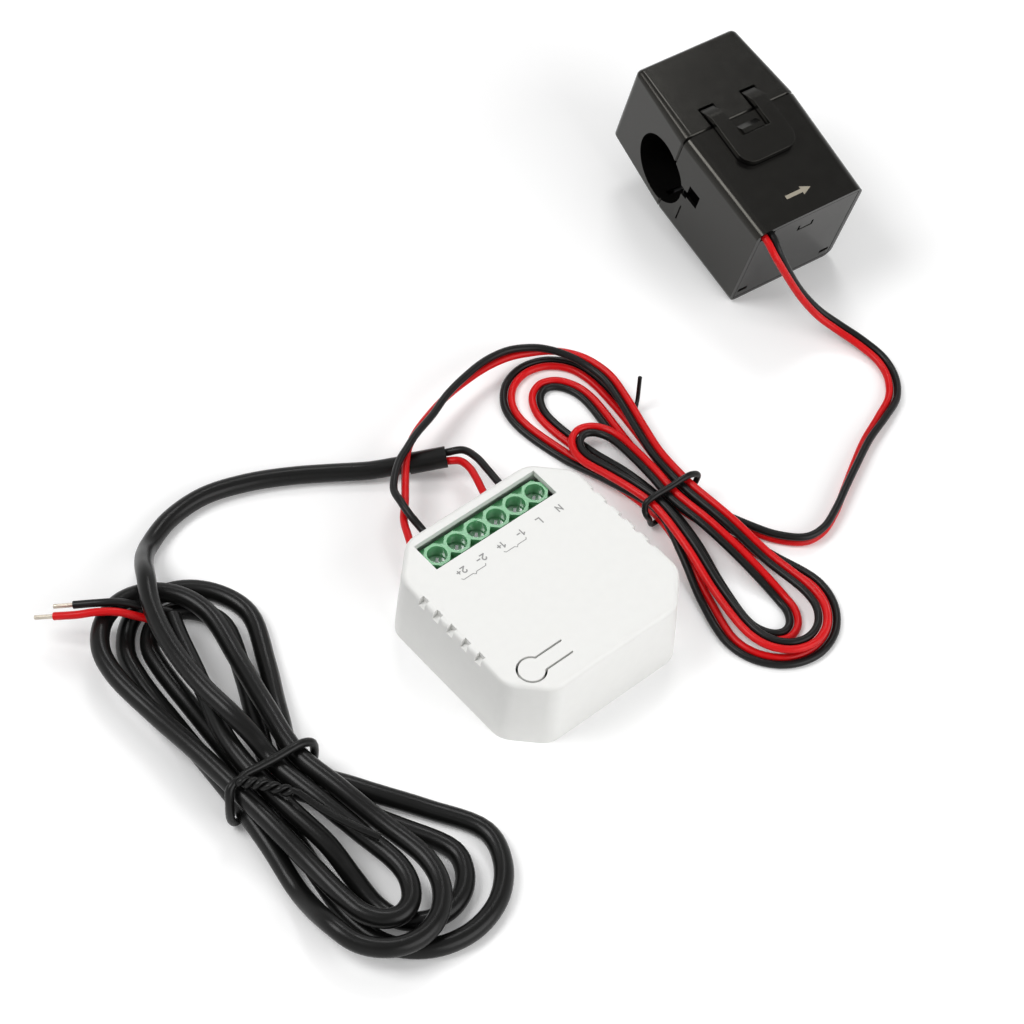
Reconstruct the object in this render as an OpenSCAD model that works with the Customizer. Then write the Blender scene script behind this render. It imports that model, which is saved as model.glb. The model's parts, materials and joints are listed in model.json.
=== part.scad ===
// Smart energy monitor: wall-box module, split-core current clamp and their two tied leads.
// Millimetres, +Z up. The origin is the middle of the module's underside.
// +X runs along the terminal row, +Y points out of the wire entries.

/* [Module case] */
// Width and depth of the case at its foot
case_side = 46; // [45:0.5:52]
// Height of the case
case_h = 17.3; // [17:0.1:20]
// Lean of each case wall towards the top
case_draft = 0.6; // [0:0.1:0.9]
// Length taken off each wall by the corner cut
case_cut = 7; // [6:0.25:7.25]
// Radius along the corner edges
case_corner_r = 5; // [2:0.5:6]
// Radius of the top rim
case_rim_r = 1.1; // [0.4:0.1:1.4]
// Wall of the case
case_wall = 1.6; // [1.4:0.1:1.8]
// Roof of the case
roof_t = 1.4; // [1.2:0.1:1.6]
// Thickness of the base plate
base_t = 2; // [1.6:0.1:2.4]
// Vent notches along each side
vent_n = 5; // [3:1:6]
// Distance between vent notches
vent_pitch = 4.15; // [3:0.05:4.4]
// Width of a vent notch
vent_w = 1.7; // [1:0.1:2.4]
// Depth of a vent notch into the wall
vent_depth = 1.1; // [0.7:0.1:1.2]

/* [Circuit board] */
// Width and depth of the board
board_side = 40; // [39:0.5:40]
// Thickness of the board
board_t = 1.6; // [1:0.1:2]
// Height of the board's underside above the foot
board_z = 4.6; // [4.2:0.1:4.8]

/* [Terminal block] */
// Distance between terminals
term_pitch = 5; // [4.8:0.05:5.2]
// Depth of the block
term_depth = 6.7; // [6.5:0.1:7]
// Place of the block's wire face
term_front_y = 19.9; // [19.6:0.1:20]
// Depth of the well rims below the case roof
rim_drop = 0.9; // [0.6:0.1:1.4]
// Diameter of a screw well
well_d = 4; // [3.9:0.05:4.2]
// Diameter of a wire entry
entry_d = 2.8; // [2.4:0.1:3]
// Diameter of a terminal screw's shank
screw_d = 2.5; // [2.2:0.1:2.6]
// Diameter of a terminal screw's head
screw_head_d = 3.6; // [3.2:0.1:3.7]
// Rise of a cage on the bare wire at the wired terminals
clamped_rise = 0.9; // [0.7:0.05:1]

/* [Pairing button] */
// Diameter of the round pad
pad_d = 5.2; // [4.6:0.1:5.6]
// Place of the pad along X
pad_x = -16.2; // [-16.5:0.1:-15]
// Place of the pad along Y
pad_y = -15.9; // [-16.2:0.1:-15]
// Length of the tongue from the pad's middle to its root
tongue_l = 8.9; // [8:0.1:10]
// Width of the tongue
tongue_w = 2.9; // [2:0.1:3.2]
// Width of the slot round the button
slot_w = 0.45; // [0.3:0.05:0.6]

/* [Current clamp] */
// Width of the clamp along the conductor
clamp_w = 29.7; // [29:0.1:34]
// Height of the clamp, hinge side to latch side
clamp_h = 26.8; // [26.4:0.1:30]
// Length of the lower half
clamp_base_l = 27.2; // [27:0.1:32]
// Length of the hinged cap
clamp_cap_l = 20.5; // [20:0.1:26]
// Wall of the clamp housings
clamp_wall = 1; // [0.8:0.05:1.1]
// Radius of the clamp's long edges
clamp_edge_r = 2.2; // [1.5:0.1:3]
// Depth of the groove where the clamp's two halves meet
seam_depth = 0.35; // [0.2:0.05:0.5]
// Share of the clamp's height taken by the conductor window
window_share = 0.597; // [0.5:0.005:0.6]
// Tilt of the clamp as it lies on its hinge
clamp_tilt = 12.3; // [10:0.1:14]
// Turn of the clamp about the vertical
clamp_yaw = -6.4; // [-12:0.1:0]
// Radius of the hinge knuckles
knuckle_r = 2.4; // [2.2:0.1:2.8]
// Diameter of the hinge pin
pin_d = 2; // [1.6:0.1:2.4]
// Width of the latch strap
latch_w = 14.6; // [13:0.1:16]
// Reach of the latch strap past the parting line
latch_reach = 12.2; // [11:0.1:14]
// Thickness of the latch strap
latch_t = 1.4; // [1.1:0.1:1.8]

/* [Cords] */
// Diameter of the mains cable's sheath
cable_d = 3.8; // [3.4:0.05:3.8]
// Diameter of one insulated core
core_d = 1.6; // [1.4:0.05:1.6]
// Diameter of the mains cable's tie
cable_tie_d = 1.4; // [1:0.1:1.4]
// Diameter of the twin lead's tie
lead_tie_d = 1.1; // [0.8:0.1:1.1]

/* [Clearances] */
// Gap between fixed plastic pieces
fit_gap = 0.1; // [0.05:0.01:0.15]
// Gap round pieces that slide or turn
run_gap = 0.1; // [0.06:0.01:0.12]
// Gap between a screw or pin and its hole, on the radius
pin_gap = 0.05; // [0.02:0.01:0.08]

/* [Hidden] */
$fn = 48;
eps = 0.01;
hull_fn = 32;
term_n = 6;

// Board, block and cage heights
board_top = board_z + board_t;
case_top_side = case_side - 2 * case_draft;
roof_z = case_h - roof_t;
rim_z = case_h - rim_drop;
rim_rise = 1.6;
block_floor = 0.6;
cage_floor_z = board_top + block_floor + 0.05;
cage_t = 0.5;
cage_top_t = 0.8;
cage_wall = 0.6;
cage_gap_h = 2.7;
cage_h = cage_t + cage_gap_h + cage_top_t;
cage_rise = 1.35;
contact_t = 0.75;
contact_z = cage_floor_z + cage_t + 1.9;
contact_top = contact_z + contact_t;
shoulder_z = cage_floor_z + cage_h + cage_rise + 0.05;
shoulder_t = 0.05;
head_h = 1.2;
wire_z = contact_z - 0.5;
entry_z = wire_z - 0.25;
term_back_y = term_front_y - term_depth;
screw_y = term_back_y + 3.1;
block_w = term_n * term_pitch + 0.4;
window_gap = 0.15;
cage_w = term_pitch - 1;
cage_d = 4.4;
function term_x(i) = (i - (term_n - 1) / 2) * term_pitch;
// Cages on a wire stand clamped, the two spare ones stand open
function term_rise(i) = (i == 2 || i == 3) ? 0 : clamped_rise;

// Rounded octagon: the middles of its eight corner rounds
function corner_spots(side, cut, r) =
  let (a = side / 2 - r, b = side / 2 - cut - (sqrt(2) - 1) * r)
  [[a, b], [b, a], [-b, a], [-a, b], [-a, -b], [-b, -a], [b, -a], [a, -b]];

module octagon_prism(side, cut, r, h) {
  hull()
    for (p = corner_spots(side, cut, r))
      translate([p[0], p[1], 0]) cylinder(r = r, h = h, $fn = hull_fn);
}

module case_solid(side, top_side, h, r, rim) {
  hull() {
    for (p = corner_spots(side, case_cut, r))
      translate([p[0], p[1], 0]) cylinder(r = r, h = 0.5, $fn = hull_fn);
    for (p = corner_spots(top_side, case_cut, r))
      translate([p[0], p[1], h - rim])
        rotate_extrude($fn = hull_fn) translate([r - rim, 0]) circle(r = rim, $fn = 24);
  }
}

// Inside of the case
inner_cut = case_cut - case_wall * (2 - sqrt(2));
inner_r = case_corner_r - case_wall * 0.6;
module case_inside() {
  hull() {
    for (p = corner_spots(case_side - 2 * case_wall, inner_cut, inner_r))
      translate([p[0], p[1], -eps]) cylinder(r = inner_r, h = 0.5, $fn = hull_fn);
    for (p = corner_spots(case_top_side - 2 * case_wall, inner_cut, inner_r))
      translate([p[0], p[1], roof_z - 0.5]) cylinder(r = inner_r, h = 0.5, $fn = hull_fn);
  }
}
function inside_half(z) = case_side / 2 - case_wall - case_draft * z / case_h;

post_spots = [[17, 9.5], [-17, 9.5], [17, -8], [-17, -8]];
peg_r = 1.25;
post_r = 2;
hook_w = 8;
hook_t = 1;
hook_h = 3.4;
barb = 0.5;
barb_z = base_t + 2;

module vent_row(side) {
  for (i = [0 : vent_n - 1])
    translate([0, (i - (vent_n - 1) / 2) * vent_pitch + 0.7 + vent_w / 2, case_h])
      scale([side, 1, 1])
        translate([case_top_side / 2, 0, 0]) rotate([90, 0, 0])
          linear_extrude(vent_w)
            polygon([[-vent_depth, 1], [-vent_depth, -1.5], [1.5, -2.7], [1.5, 1]]);
}

button_room = 1;
module button_outline(grow) {
  translate([pad_x, pad_y]) circle(d = pad_d + 2 * grow);
  translate([pad_x, pad_y - tongue_w / 2 - grow]) square([tongue_l, tongue_w + 2 * grow]);
}

module module_cover() {
  color("white")
    difference() {
      union() {
        difference() {
          case_solid(case_side, case_top_side, case_h, case_corner_r, case_rim_r);
          case_inside();
        }
        for (p = post_spots)
          translate([p[0], p[1], board_top]) cylinder(r = peg_r, h = roof_z - board_top + eps);
      }
      // Window over the terminal wells
      translate([-block_w / 2 - window_gap, term_back_y - window_gap, roof_z - 1])
        cube([block_w + 2 * window_gap, term_depth + 2 * window_gap, roof_t + 2]);
      // Slot that lets the wires through the wall
      translate([-block_w / 2, term_front_y, entry_z - entry_d / 2 - 0.4])
        cube([block_w, case_side, entry_d + 0.8]);
      vent_row(1);
      vent_row(-1);
      // The slot runs below the roof, so that the pad clears the corner as it sinks
      translate([0, 0, roof_z - button_room]) linear_extrude(roof_t + button_room + 1)
        button_outline(slot_w);
      // Pockets for the base plate's barbs
      for (s = [-1, 1])
        translate([s * (inside_half(barb_z) - 0.3 + 0.5) - 0.5, -hook_w / 2 - 0.3, barb_z - 0.2])
          cube([1, hook_w + 0.6, 1.6]);
    }
}

module base_plate() {
  color("whitesmoke") {
    octagon_prism(case_side - 2 * case_wall - 2 * fit_gap - 2 * case_draft * base_t / case_h,
                  inner_cut, inner_r, base_t);
    for (p = post_spots)
      translate([p[0], p[1], base_t - eps]) cylinder(r = post_r, h = board_z - base_t + eps);
    for (s = [-1, 1])
      scale([s, 1, 1])
        translate([inside_half(base_t + hook_h) - fit_gap - hook_t, -hook_w / 2, base_t - eps]) {
          cube([hook_t, hook_w, hook_h]);
          translate([hook_t - eps, 0, barb_z - base_t]) cube([barb, hook_w, 1]);
        }
  }
}

pin_hole = [1.2, 0.8];
contact_back_y = term_back_y + 0.35;
contact_l = 4.8;
contact_w = 2.4;

module main_board() {
  color("darkgreen")
    difference() {
      translate([0, 0, board_z]) octagon_prism(board_side, 6, 0.6, board_t);
      for (i = [0 : term_n - 1])
        translate([term_x(i) - pin_hole[0] / 2, contact_back_y - 0.15, board_z - 1])
          cube([pin_hole[0], pin_hole[1], board_t + 2]);
    }
}

module terminal_housing() {
  body_top = rim_z - rim_rise;
  color("mediumseagreen")
    difference() {
      union() {
        translate([-block_w / 2, term_back_y, board_top]) cube([block_w, term_depth, body_top - board_top]);
        for (i = [0 : term_n - 1])
          translate([term_x(i), screw_y, body_top - eps])
            rotate(22.5) cylinder(d = 1.13 * term_pitch, h = rim_rise + eps, $fn = 8);
      }
      for (i = [0 : term_n - 1]) translate([term_x(i), 0, 0]) {
        translate([0, screw_y, shoulder_z + shoulder_t]) cylinder(d = well_d, h = case_h);
        translate([0, screw_y, cage_floor_z]) cylinder(r = screw_d / 2 + 2 * pin_gap, h = case_h);
        // Shaft in which the cage rides
        translate([-cage_w / 2 - run_gap, screw_y - cage_d / 2 - run_gap, board_top + block_floor])
          cube([cage_w + 2 * run_gap, cage_d + 2 * run_gap, shoulder_z - board_top - block_floor]);
        translate([0, term_front_y + 1, entry_z]) rotate([90, 0, 0])
          cylinder(d = entry_d, h = term_front_y + 1 - screw_y);
        // Seat of the contact bar and its pin
        translate([-contact_w / 2 - 0.05, contact_back_y - 0.05, contact_z - 0.05])
          cube([contact_w + 0.1, contact_l + 0.1, contact_t + 0.1]);
        translate([-0.55, contact_back_y - 0.05, board_top - 1]) cube([1.1, 0.6, contact_z]);
      }
    }
}

module terminal_contacts() {
  color("gold")
    for (i = [0 : term_n - 1]) translate([term_x(i), contact_back_y, 0]) {
      translate([-contact_w / 2, 0, contact_z]) cube([contact_w, contact_l, contact_t]);
      translate([-0.5, 0, board_z - 1]) cube([1, 0.5, contact_z - board_z + 1 + eps]);
    }
}

module terminal_cage(i) {
  color("silver")
    translate([term_x(i), screw_y, cage_floor_z + term_rise(i)])
      difference() {
        translate([-cage_w / 2, -cage_d / 2, 0]) cube([cage_w, cage_d, cage_h]);
        translate([-cage_w / 2 + cage_wall, -cage_d, cage_t])
          cube([cage_w - 2 * cage_wall, 2 * cage_d, cage_gap_h]);
        translate([0, 0, cage_t]) cylinder(r = screw_d / 2 + pin_gap, h = cage_h);
      }
}

module terminal_screw(i) {
  color("lightgray")
    translate([term_x(i), screw_y, 0])
      difference() {
        union() {
          translate([0, 0, contact_top + 0.05]) cylinder(d = screw_d, h = shoulder_z - contact_top);
          translate([0, 0, shoulder_z + shoulder_t + 0.05]) cylinder(d = screw_head_d, h = head_h);
          translate([0, 0, shoulder_z - eps]) cylinder(d = screw_d, h = shoulder_t + 0.1);
        }
        for (a = [45, 135])
          rotate(a) translate([-screw_head_d * 0.36, -0.3, shoulder_z + head_h * 0.5])
            cube([screw_head_d * 0.72, 0.6, head_h]);
      }
}

// Button tongue, its nib and the switch below
nib_x = pad_x + 1.7;
nib_d = 1.6;
nib_h = 0.6;
press_gap = 0.15;
switch_side = 4.5;
switch_h = 2.4;
plunger_d = 2.4;
plunger_top = roof_z - nib_h - press_gap;

module pairing_button() {
  color("white") {
    translate([0, 0, roof_z]) linear_extrude(roof_t) button_outline(0);
    translate([nib_x, pad_y, roof_z - nib_h]) cylinder(d = nib_d, h = nib_h + eps);
  }
}

module tact_switch() {
  color("dimgray")
    translate([nib_x, pad_y + 0.3, board_top])
      difference() {
        rotate(45) translate([-switch_side / 2, -switch_side / 2, 0])
          cube([switch_side, switch_side, switch_h]);
        translate([0, 0, 1.2]) cylinder(r = plunger_d / 2 + run_gap, h = switch_h);
      }
}

module tact_plunger() {
  color("black")
    translate([nib_x, pad_y + 0.3, board_top + 1.2 + 0.5])
      cylinder(d = plunger_d, h = plunger_top - board_top - 1.7);
}

// Parts on the board
radio_x = -3;
radio_y = -17;
radio_w = 18;
radio_d = 14;
radio_t = 0.8;
shield_w = 12;
shield_d = 11;
shield_h = 2.2;
module radio_board() {
  color("seagreen") translate([radio_x, radio_y, board_top]) cube([radio_w, radio_d, radio_t]);
}

module radio_shield() {
  color("silver")
    translate([radio_x + (radio_w - shield_w) / 2, radio_y + (radio_d - shield_d) / 2, board_top + radio_t])
      cube([shield_w, shield_d, shield_h]);
}

module bulk_capacitors() {
  color("midnightblue")
    for (x = [-13, -5.8]) translate([x, 4.5, board_top]) cylinder(d = 6.3, h = 8);
}

module power_inductor() {
  color("saddlebrown")
    translate([3.5, 5, board_top]) {
      cylinder(d = 8, h = 1);
      cylinder(d = 5.4, h = 6);
      translate([0, 0, 5]) cylinder(d = 8, h = 1);
    }
}

module varistor() {
  color("royalblue")
    translate([11, 7, board_top + 3.5]) rotate([0, 90, 0]) cylinder(d = 7, h = 3);
}

module fusible_resistor() {
  color("wheat")
    translate([10.5, 1.3, board_top + 1.3]) rotate([0, 90, 0]) cylinder(d = 2.6, h = 7);
}

module bridge_rectifier() {
  color("dimgray") translate([9.5, -2.5, board_top]) cube([5, 2.3, 1.8]);
}

module metering_chip() {
  color("dimgray") translate([-14, -5, board_top]) cube([6, 5, 1.5]);
}

module burden_resistors() {
  color("slategray")
    for (x = [-10, -5]) translate([x - 1.6, 9.6, board_top]) cube([3.2, 1.6, 0.6]);
}

// Clamp in its own frame: X along the conductor, Y from the wire end to the cap, Z to the latch
clamp_xy = [106, 61];
clamp_z = clamp_h / 2 * cos(clamp_tilt) + clamp_base_l * sin(clamp_tilt);
hinge_z = (knuckle_r - clamp_z) / cos(clamp_tilt);
base_draft = 0.76;
cap_draft = 1.5;
cap_bottom_draft = 0.8;
cap_end_r = 1.5;
window_r = window_share * clamp_h / 2;
window_y = 0.425 * window_r;
window_z = -0.0858 * clamp_h;
window_wall = 0.5;
core_t = 1;
core_gap = 0.1;
base_inner_w = clamp_w - 2 * base_draft - 2 * clamp_wall;
base_inner_h = clamp_h - 2 * clamp_wall;
core_side = 3.1;
core_w = base_inner_w - 2 * core_side;
leg_off = window_r + window_wall + core_gap + core_t / 2;
lower_back_y = window_y - window_r - 9.4;
upper_back_y = window_y + window_r + window_wall + 0.6;
plate_t = 1.2;
cap_cavity_top = clamp_h / 2 - 3.9;

module at_clamp() {
  translate([clamp_xy[0], clamp_xy[1], clamp_z])
    rotate([0, 0, clamp_yaw]) rotate([clamp_tilt, 0, 0]) children();
}

module edge_rods(y, half_w, top, bottom, r) {
  for (sx = [-1, 1])
    for (z = [top - r, bottom + r])
      translate([sx * (half_w - r), y, z]) rotate([90, 0, 0])
        cylinder(r = r, h = 0.2, center = true, $fn = hull_fn);
}

module seam_rods(side) {
  edge_rods(side * 0.1, clamp_w / 2 - seam_depth, clamp_h / 2 - seam_depth, -clamp_h / 2 + seam_depth,
            clamp_edge_r);
  edge_rods(side * (0.1 + seam_depth), clamp_w / 2, clamp_h / 2, -clamp_h / 2, clamp_edge_r);
}

module base_outer() {
  hull() {
    seam_rods(-1);
    edge_rods(-clamp_base_l + 0.1, clamp_w / 2 - base_draft, clamp_h / 2, -clamp_h / 2, clamp_edge_r);
  }
}

module cap_outer() {
  hull() {
    seam_rods(1);
    for (sx = [-1, 1])
      for (z = [clamp_h / 2 - cap_draft - cap_end_r, -clamp_h / 2 + cap_bottom_draft + cap_end_r])
        translate([sx * (clamp_w / 2 - cap_draft - cap_end_r), clamp_cap_l - cap_end_r, z])
          sphere(r = cap_end_r, $fn = 24);
  }
}

module window_rod(r, from_x, to_x) {
  translate([from_x, window_y, window_z]) rotate([0, 90, 0]) cylinder(r = r, h = to_x - from_x);
}

module leg_slots(y0, y1) {
  for (s = [-1, 1])
    translate([-core_w / 2 - core_gap, y0, window_z + s * leg_off - core_t / 2 - core_gap])
      cube([core_w + 2 * core_gap, y1 - y0, core_t + 2 * core_gap]);
}

ear_w = 5;
ear_gap = 0.3;
mid_ear_w = 7.8;
ear_reach = 7;
ear_root = 2.6;
module hinge_ear(x0, w, side) {
  hull() {
    translate([x0, 0, hinge_z]) rotate([0, 90, 0]) cylinder(r = knuckle_r, h = w, $fn = hull_fn);
    translate([x0, side > 0 ? ear_root : -ear_reach, -clamp_h / 2])
      cube([w, ear_reach - ear_root, clamp_wall * 0.7]);
  }
}

cover_t = 1.6;
catch_w = 5.2;
catch_y = -latch_reach + 7.2;
catch_h = 1.1;

module clamp_base() {
  color("#202022")
    at_clamp()
      difference() {
        union() {
          difference() {
            base_outer();
            translate([-base_inner_w / 2, -clamp_base_l - 1, -base_inner_h / 2])
              cube([base_inner_w, clamp_base_l + 1 - plate_t, base_inner_h]);
          }
          intersection() {
            window_rod(window_r + window_wall, -base_inner_w / 2 - eps, base_inner_w / 2 + eps);
            translate([-clamp_w, -clamp_base_l, -clamp_h]) cube([2 * clamp_w, clamp_base_l, 2 * clamp_h]);
          }
          for (s = [-1, 1])
            hinge_ear(s * (mid_ear_w / 2 + ear_gap) - (s < 0 ? ear_w : 0), ear_w, -1);
          // Ramp that the latch strap hooks behind
          translate([-catch_w / 2, 0, clamp_h / 2 - eps]) rotate([90, 0, 90])
            linear_extrude(catch_w)
              polygon([[catch_y, 0], [catch_y, catch_h], [catch_y + 1.2, catch_h], [catch_y + 2.8, 0]]);
        }
        window_rod(window_r, -clamp_w, clamp_w);
        leg_slots(-plate_t - 1, 1);
        translate([-clamp_w, 0, hinge_z]) rotate([0, 90, 0])
          cylinder(r = pin_d / 2 + pin_gap / 2, h = 2 * clamp_w);
        // Moulded recess beside the window on the open face
        translate([-clamp_w / 2 - 1, window_y - window_r - 1.6, window_z + 1.2]) cube([1.8, 3, 2.2]);
        translate([-clamp_w / 2 - 1, window_y - window_r - 5, window_z + 2]) cube([1.8, 3.6, 4]);
        translate([-clamp_w / 2 - 1, window_y - window_r - 1.4, window_z - 7]) cube([1.5, 0.4, 5]);
      }
}

exit_gap = 0.15;
exit_x = -base_inner_w / 2 + fit_gap + core_d + exit_gap;
exit_z = base_inner_h / 2 - 1;
key_w = 2.4;
key_h = 1.1;
key_edge = 1.8;
lift_slot_w = 3.6;
lift_slot_drop = 5.3;
module clamp_end_cover() {
  half_w = base_inner_w / 2 - fit_gap;
  half_h = base_inner_h / 2 - fit_gap;
  color("#2a2a2c")
    at_clamp()
      translate([0, -clamp_base_l, 0])
        difference() {
          translate([-half_w, 0, -half_h]) cube([2 * half_w, cover_t, 2 * half_h]);
          translate([exit_x - core_d - exit_gap, -1, exit_z - core_d / 2 - exit_gap])
            cube([2 * core_d + 2 * exit_gap, cover_t + 2, half_h]);
          for (s = [-1, 1])
            translate([s * (half_w - key_edge) - key_w / 2, -1, -half_h + key_edge])
              cube([key_w, cover_t + 2, key_h]);
          translate([-lift_slot_w / 2, -1, half_h - lift_slot_drop]) cube([lift_slot_w, cover_t + 2, 0.5]);
          for (s = [-1, 1])
            translate([s * lift_slot_w / 2 - 0.25, -1, half_h - lift_slot_drop])
              cube([0.5, cover_t + 2, 1.8]);
        }
}

latch_leg_w = 3.5;
latch_pivot = [4.2, clamp_h / 2 - 1];
pivot_r = 0.8;
latch_lift = 0.2;
module latch_pockets() {
  for (s = [-1, 1])
    translate([s > 0 ? latch_w / 2 - latch_leg_w - 0.3 : -latch_w / 2 - 0.3, -1,
               latch_pivot[1] - pivot_r - 0.2])
      cube([latch_leg_w + 0.6, latch_pivot[0] + pivot_r + 1.4, clamp_h]);
}

module clamp_cap() {
  inner_w = clamp_w - 2 * cap_draft - 2 * clamp_wall;
  bottom = window_z - leg_off - core_t / 2 - core_gap;
  color("#202022")
    at_clamp()
      difference() {
        union() {
          difference() {
            cap_outer();
            translate([-inner_w / 2, -1, bottom])
              cube([inner_w, upper_back_y + core_t + 1 + core_gap, cap_cavity_top - bottom]);
            translate([-inner_w / 2, -1, bottom + clamp_wall])
              cube([inner_w, clamp_cap_l + 1 - clamp_wall, cap_cavity_top - bottom - clamp_wall]);
          }
          intersection() {
            window_rod(window_r + window_wall, -inner_w / 2 - eps, inner_w / 2 + eps);
            translate([-clamp_w, plate_t + fit_gap, -clamp_h]) cube([2 * clamp_w, clamp_cap_l, 2 * clamp_h]);
          }
          hinge_ear(-mid_ear_w / 2, mid_ear_w, 1);
        }
        window_rod(window_r, -clamp_w, clamp_w);
        latch_pockets();
        translate([-clamp_w, 0, hinge_z]) rotate([0, 90, 0])
          cylinder(r = pin_d / 2 + pin_gap, h = 2 * clamp_w);
      }
}

module cap_core_plate() {
  half_w = clamp_w / 2 - cap_draft - clamp_wall - fit_gap;
  bottom = window_z;
  color("#303032")
    at_clamp()
      difference() {
        translate([-half_w, 0, bottom]) cube([2 * half_w, plate_t, cap_cavity_top - fit_gap - bottom]);
        window_rod(window_r, -clamp_w, clamp_w);
        leg_slots(-1, plate_t + 1);
      }
}

module clamp_latch() {
  h = clamp_h / 2 + latch_lift;
  leg_x = latch_w / 2 - latch_leg_w;
  bar_y = catch_y - 0.4;
  color("#262628")
    at_clamp()
      union() {
        for (x = [-latch_w / 2, leg_x])
          translate([x, 0, 0]) rotate([90, 0, 90])
            linear_extrude(latch_leg_w)
              polygon([[bar_y - 1, h], [0.6, h], [latch_pivot[0] - pivot_r, latch_pivot[1]],
                       [latch_pivot[0] + pivot_r * 0.8, latch_pivot[1] + pivot_r * 0.6],
                       [1.2, h + latch_t], [bar_y - 1, h + latch_t]]);
        for (x = [-latch_w / 2, leg_x])
          translate([x, latch_pivot[0], latch_pivot[1]]) rotate([0, 90, 0])
            cylinder(r = pivot_r, h = latch_leg_w);
        // Finger tab with round corners
        translate([0, 0, h])
          linear_extrude(latch_t) {
            translate([-latch_w / 2, -latch_reach + 3.4]) square([latch_w, latch_reach - 3.4 + bar_y]);
            for (s = [-1, 1]) translate([s * (latch_w / 2 - 3.4), -latch_reach + 3.4]) circle(r = 3.4);
            translate([-latch_w / 2 + 3.4, -latch_reach]) square([latch_w - 6.8, 3.5]);
          }
      }
}

module clamp_hinge_pin() {
  color("silver")
    at_clamp()
      translate([-mid_ear_w / 2 - ear_gap - ear_w, 0, hinge_z]) rotate([0, 90, 0])
        cylinder(d = pin_d, h = mid_ear_w + 2 * ear_gap + 2 * ear_w);
}

module core_half(back_y, side) {
  for (s = [-1, 1])
    translate([-core_w / 2, side > 0 ? 0.02 : back_y, window_z + s * leg_off - core_t / 2])
      cube([core_w, abs(back_y) - 0.02, core_t]);
  translate([-core_w / 2, side > 0 ? back_y : back_y - core_t, window_z - leg_off - core_t / 2])
    cube([core_w, core_t, 2 * leg_off + core_t]);
}

module lower_core() {
  color("gray") at_clamp() core_half(lower_back_y, -1);
}

module upper_core() {
  color("gray") at_clamp() core_half(upper_back_y, 1);
}

pad_w = core_w - 4;
module core_pad() {
  color("darkslategray")
    at_clamp()
      translate([-pad_w / 2, upper_back_y + core_t + 0.05, window_z - window_r / 2])
        cube([pad_w, clamp_cap_l - clamp_wall - upper_back_y - core_t - 0.1, window_r]);
}

bobbin_gap = 0.15;
bobbin_wall = 0.6;
flange_t = 0.8;
flange_side = 0.4;
flange = [base_inner_w - 2 * flange_side, 8];
winding_drop = 0.4;
module bobbin_tube(grow, z0, h) {
  translate([-core_w / 2 - grow, lower_back_y - core_t - grow, z0])
    cube([core_w + 2 * grow, core_t + 2 * grow, h]);
}

bobbin_half = leg_off - core_t / 2 - bobbin_gap;
module winding_bobbin() {
  z0 = window_z - bobbin_half;
  color("ivory")
    at_clamp()
      difference() {
        union() {
          bobbin_tube(bobbin_gap + bobbin_wall, z0, 2 * bobbin_half);
          for (z = [z0, z0 + 2 * bobbin_half - flange_t])
            translate([-flange[0] / 2, lower_back_y - core_t / 2 - flange[1] / 2, z])
              cube([flange[0], flange[1], flange_t]);
        }
        bobbin_tube(bobbin_gap, z0 - 1, 2 * bobbin_half + 2);
      }
}

module secondary_winding() {
  z0 = window_z - bobbin_half + flange_t + 0.05;
  h = 2 * bobbin_half - 2 * flange_t - 0.1;
  color("peru")
    at_clamp()
      difference() {
        translate([-flange[0] / 2 + winding_drop,
                   lower_back_y - core_t / 2 - flange[1] / 2 + winding_drop, z0])
          cube([flange[0] - 2 * winding_drop, flange[1] - 2 * winding_drop, h]);
        bobbin_tube(bobbin_gap + bobbin_wall + 0.05, z0 - 1, h + 2);
      }
}

// Swept tubes for the cords
function unit(v) = v / norm(v);
function along(p, i) = unit(p[min(i + 1, len(p) - 1)] - p[max(i - 1, 0)]);
function level_side(t) = unit(cross(t, [0, 0, 1]));
function carried(t, first) =
  [for (i = 0, u = unit(first - (first * t[0]) * t[0]); i < len(t);
        i = i + 1, u = i < len(t) ? unit(u - (u * t[i]) * t[i]) : u) u];

module tube(p, d, sides) {
  t = [for (i = [0 : len(p) - 1]) along(p, i)];
  u = carried(t, [0.1, 0.2, 1]);
  n = len(p);
  rings = [for (i = [0 : n - 1]) let (v = cross(t[i], u[i]))
           for (k = [0 : sides - 1]) p[i] + d / 2 * (cos(360 * k / sides) * u[i] + sin(360 * k / sides) * v)];
  walls = [for (i = [0 : n - 2]) for (k = [0 : sides - 1])
           let (a = i * sides + k, b = i * sides + (k + 1) % sides)
           each [[a, b, b + sides], [a, b + sides, a + sides]]];
  foot = [for (k = [1 : sides - 2]) [0, k + 1, k]];
  last = (n - 1) * sides;
  head = [for (k = [1 : sides - 2]) [last, last + k, last + k + 1]];
  polyhedron(points = rings, faces = concat([for (f = walls) [f[0], f[2], f[1]]],
                                            [for (f = foot) [f[0], f[2], f[1]]],
                                            [for (f = head) [f[0], f[2], f[1]]]));
}

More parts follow.
